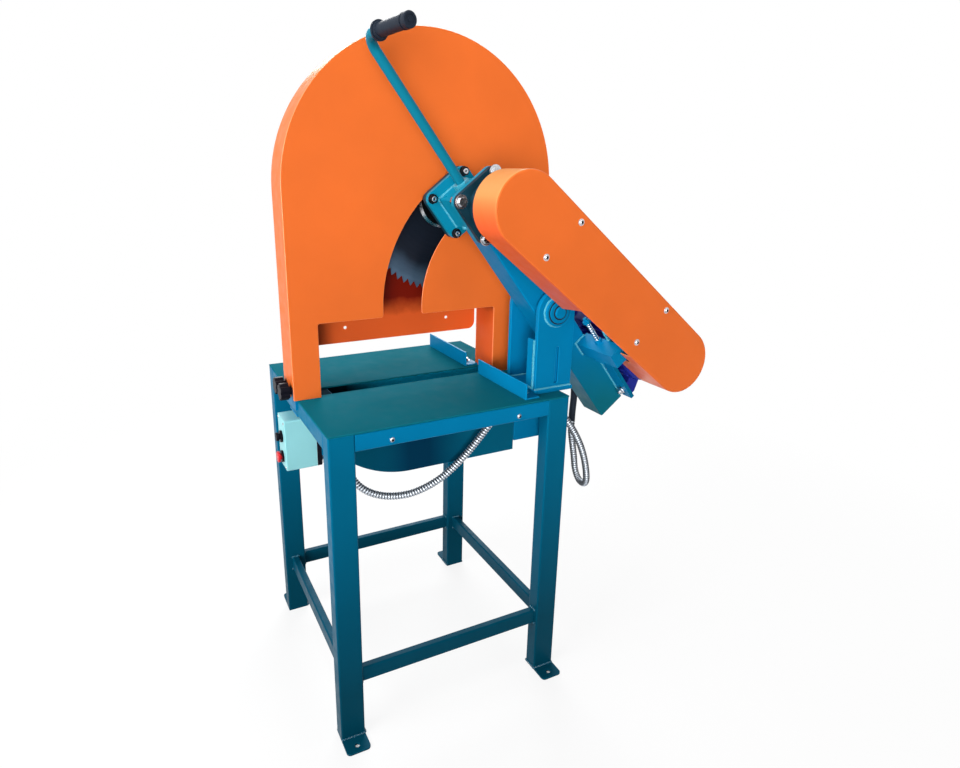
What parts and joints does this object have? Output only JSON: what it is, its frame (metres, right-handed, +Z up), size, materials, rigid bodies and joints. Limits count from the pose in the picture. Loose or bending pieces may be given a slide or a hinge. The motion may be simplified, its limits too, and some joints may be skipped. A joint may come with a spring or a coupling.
{
  "type": "crosscut saw machine",
  "caption": "Swing-arm crosscut saw on a welded stand, with a tall blade guard, pull handle, belt drive and motor balancing the arm.",
  "frame": {"origin": "on the floor at the centre of the four anchor holes in the foot plates, below the middle of the table", "axes": "+Z up; -Y towards the operator, +Y towards the pivot and motor; +X to the operator's right, with the saw blade in the plane X = 0"},
  "size_m": [0.73, 0.9965, 1.6389],
  "materials": {
    "blue_paint": "gloss",
    "table_paint": "gloss",
    "orange_paint": "satin",
    "blade_steel": "ground",
    "shaft_steel": "turned",
    "zinc": "zinc plated",
    "dark_casting": "painted casting",
    "bronze": "machined",
    "motor_paint": "gloss",
    "black_plastic": "matte",
    "pale_plastic": "satin",
    "red_plastic": "gloss",
    "black_rubber": "matte",
    "conduit_metal": "ribbed"
  },
  "bodies": {
    "frame": {"leg_front_right": "blue_paint", "leg_front_left": "blue_paint", "leg_rear_right": "blue_paint", "leg_rear_left": "blue_paint", "foot_plates": "blue_paint", "side_rails": "blue_paint", "end_rails": "blue_paint", "side_stretchers": "blue_paint", "end_stretchers": "blue_paint", "table_plate_right": "table_paint", "table_plate_left": "table_paint", "fence_right": "blue_paint", "fence_left": "blue_paint", "guard_front_panel": "orange_paint", "guard_rear_panel": "orange_paint", "guard_rim": "orange_paint", "guard_leg_liner": "orange_paint", "guard_bracket": "zinc", "dust_chute": "blue_paint", "pedestal_base": "blue_paint", "pivot_cheek_right": "blue_paint", "pivot_cheek_left": "blue_paint", "pivot_bushes": "bronze", "control_bracket": "blue_paint", "control_box_base": "black_plastic", "control_box_cover": "pale_plastic", "contact_blocks": "black_plastic", "button_collars": "black_plastic", "conduit_gland": "zinc", "conduit_run": "conduit_metal"},
    "saw_arm": {"arm_beam": "blue_paint", "pivot_shaft": "shaft_steel", "spindle_block": "blue_paint", "bearing_housing_right": "dark_casting", "bearing_housing_left": "dark_casting", "arm_fasteners": "zinc", "handle_bar": "blue_paint", "handle_grip": "black_rubber", "belt_guard": "orange_paint", "belt_guard_brackets": "blue_paint", "cross_tube": "blue_paint", "motor_plate": "blue_paint", "tension_screw": "zinc", "motor_frame": "motor_paint", "motor_end_bells": "motor_paint", "motor_fan_cover": "motor_paint", "terminal_box": "motor_paint", "drive_belts": "black_rubber", "conduit_sleeve": "black_rubber"},
    "spindle": {"spindle_shaft": "shaft_steel", "bearing_rings": "shaft_steel", "saw_blade": "blade_steel", "blade_clamp": "shaft_steel", "spindle_pulley": "shaft_steel"},
    "motor_rotor": {"motor_shaft": "shaft_steel", "motor_pulley": "shaft_steel"},
    "start_button": {"start_button": "black_plastic"},
    "stop_button": {"stop_button": "red_plastic"},
    "guard_knob_right": {"guard_knob_right": "black_plastic"},
    "guard_knob_left": {"guard_knob_left": "black_plastic"}
  },
  "joints": [
    {"name": "arm_swing", "type": "hinge", "parent": "frame", "child": "saw_arm", "pos_m": [0, 0.289, 1.003], "axis": [1, 0, 0], "range_deg": [0, 54]},
    {"name": "spindle_spin", "type": "hinge", "parent": "saw_arm", "child": "spindle", "pos_m": [0, 0.0942, 1.25687], "axis": [1, 0, 0], "continuous": true},
    {"name": "motor_spin", "type": "hinge", "parent": "saw_arm", "child": "motor_rotor", "pos_m": [0, 0.55713, 0.88354], "axis": [1, 0, 0], "continuous": true},
    {"name": "start_press", "type": "slide", "parent": "frame", "child": "start_button", "axis": [0, 1, 0], "range_m": [0, 0.004], "stiffness_N_per_m": 400},
    {"name": "stop_press", "type": "slide", "parent": "frame", "child": "stop_button", "axis": [0, 1, 0], "range_m": [0, 0.004], "stiffness_N_per_m": 400},
    {"name": "knob_right_turn", "type": "hinge", "parent": "frame", "child": "guard_knob_right", "pos_m": [0.022, -0.3165, 0.821], "axis": [0, 1, 0], "continuous": true},
    {"name": "knob_left_turn", "type": "hinge", "parent": "frame", "child": "guard_knob_left", "pos_m": [-0.03, -0.3165, 0.821], "axis": [0, 1, 0], "continuous": true}
  ],
  "couplings": [
    {"joint": "motor_spin", "follows": "spindle_spin", "ratio": 1}
  ]
}
